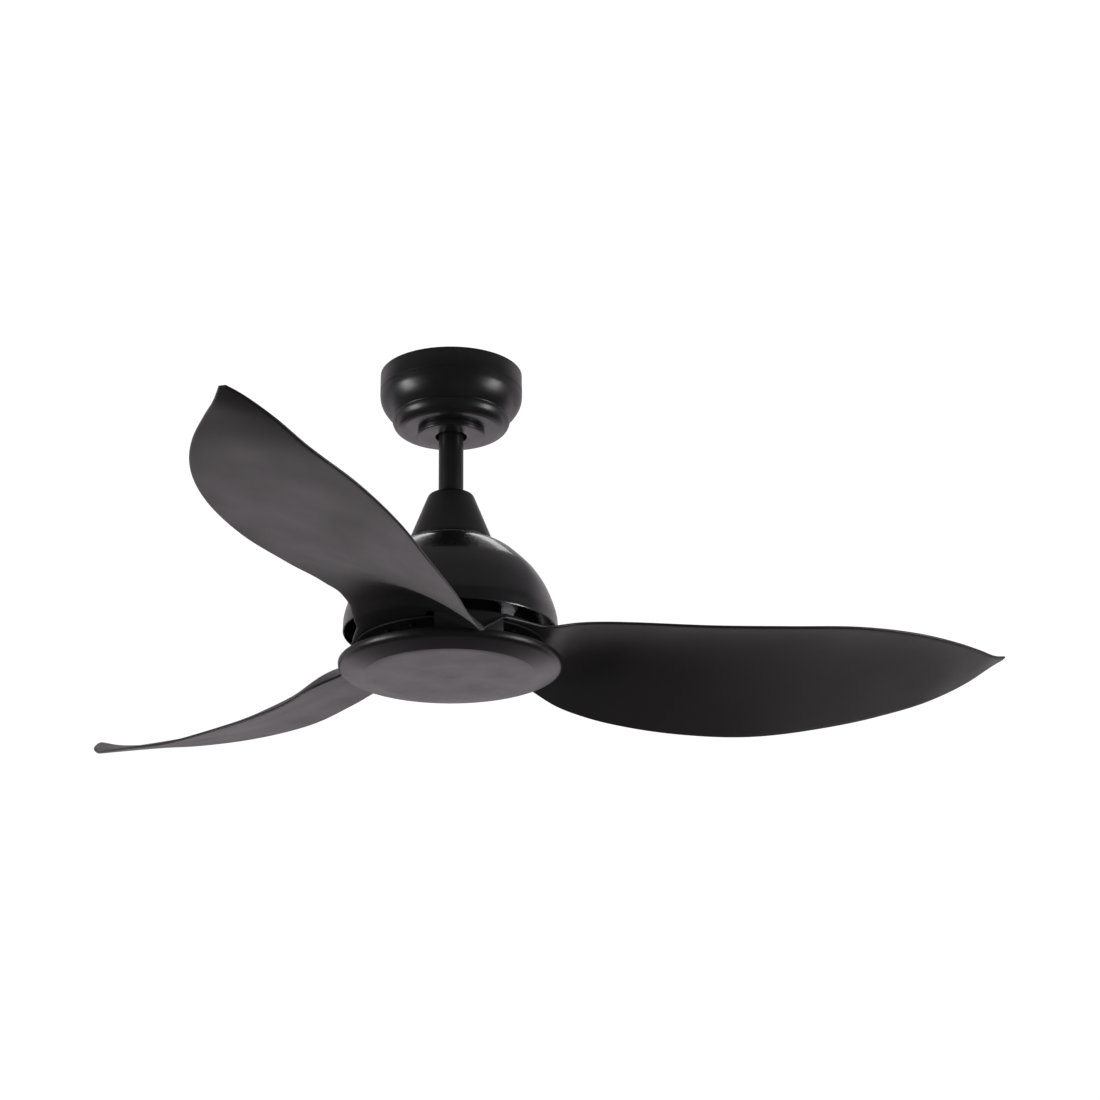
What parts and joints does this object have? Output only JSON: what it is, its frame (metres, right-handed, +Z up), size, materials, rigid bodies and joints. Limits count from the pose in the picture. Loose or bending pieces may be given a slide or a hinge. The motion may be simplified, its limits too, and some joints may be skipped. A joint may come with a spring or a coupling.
{
  "type": "ceiling fan",
  "caption": "Ceiling fan: bell canopy, short downrod, domed motor and swept twisted blades round a flat blank cover where a lamp kit would fit.",
  "frame": {"origin": "on the fan's axis in the ceiling plane, on top of the hanger bracket", "axes": "+Z up along the downrod, into the ceiling; +X along the first blade's root; the fan hangs below"},
  "size_m": [1.0167, 1.0313, 0.353],
  "materials": {
    "satin_black_paint": "satin black paint",
    "gloss_black_paint": "glossy black paint",
    "matte_black_plastic": "fine matte black moulded ABS",
    "zinc_steel": "zinc-plated steel",
    "cast_aluminium": "as-cast aluminium",
    "lamination_steel": "stacked dark steel laminations",
    "copper_winding": "varnished copper winding",
    "ferrite": "dark sintered magnet",
    "black_screw": "black oxide screw",
    "nylon": "natural nylon"
  },
  "bodies": {
    "hanger": {"hanger_bracket": "zinc_steel", "canopy": "satin_black_paint", "canopy_trim_ring": "satin_black_paint", "canopy_screw_1": "black_screw", "canopy_screw_2": "black_screw", "receiver_box": "matte_black_plastic", "terminal_block": "nylon"},
    "ball": {"hanger_ball": "nylon", "cross_pin": "zinc_steel"},
    "drop": {"downrod": "satin_black_paint", "motor_yoke": "cast_aluminium", "yoke_pin": "zinc_steel", "yoke_pin_clip": "zinc_steel", "yoke_set_screw_1": "zinc_steel", "yoke_set_screw_2": "zinc_steel", "motor_shaft": "zinc_steel", "bearing_upper_inner": "zinc_steel", "bearing_lower_inner": "zinc_steel", "bearing_upper_balls": "zinc_steel", "bearing_lower_balls": "zinc_steel", "stator_core": "lamination_steel", "winding_upper": "copper_winding", "winding_lower": "copper_winding", "motor_dome": "gloss_black_paint", "dome_screw_1": "zinc_steel", "dome_screw_2": "zinc_steel", "dome_screw_3": "zinc_steel", "light_plate": "zinc_steel", "plate_nut_upper": "zinc_steel", "plate_nut_lower": "zinc_steel", "lamp_connector": "nylon", "bottom_cover": "satin_black_paint"},
    "coupling_cover": {"coupling_cover": "satin_black_paint"},
    "rotor": {"rotor_shell_upper": "cast_aluminium", "rotor_shell_lower": "cast_aluminium", "magnet_ring": "ferrite", "bearing_upper_outer": "zinc_steel", "bearing_lower_outer": "zinc_steel", "casing_screw_1": "zinc_steel", "casing_screw_2": "zinc_steel", "casing_screw_3": "zinc_steel", "blade_hub": "satin_black_paint", "blade_clamp_ring": "satin_black_paint", "hub_screw_1": "zinc_steel", "hub_screw_2": "zinc_steel", "hub_screw_3": "zinc_steel", "blade_1": "matte_black_plastic", "blade_2": "matte_black_plastic", "blade_3": "matte_black_plastic", "blade_1_screw_1": "black_screw", "blade_1_screw_2": "black_screw", "blade_1_screw_3": "black_screw", "blade_2_screw_1": "black_screw", "blade_2_screw_2": "black_screw", "blade_2_screw_3": "black_screw", "blade_3_screw_1": "black_screw", "blade_3_screw_2": "black_screw", "blade_3_screw_3": "black_screw"}
  },
  "joints": [
    {"name": "ball_tilt", "type": "hinge", "parent": "hanger", "child": "ball", "pos_m": [0, 0, -0.03], "axis": [1, 0, 0], "range_deg": [-2.5, 2.5]},
    {"name": "rod_tilt", "type": "hinge", "parent": "ball", "child": "drop", "pos_m": [0, 0, -0.03], "axis": [0, 1, 0], "range_deg": [-2.5, 2.5]},
    {"name": "rotor_spin", "type": "hinge", "parent": "drop", "child": "rotor", "pos_m": [0, 0, -0.26], "axis": [0, 0, -1], "continuous": true},
    {"name": "coupling_cover_slide", "type": "slide", "parent": "drop", "child": "coupling_cover", "axis": [0, 0, 1], "range_m": [0, 0.05]}
  ]
}
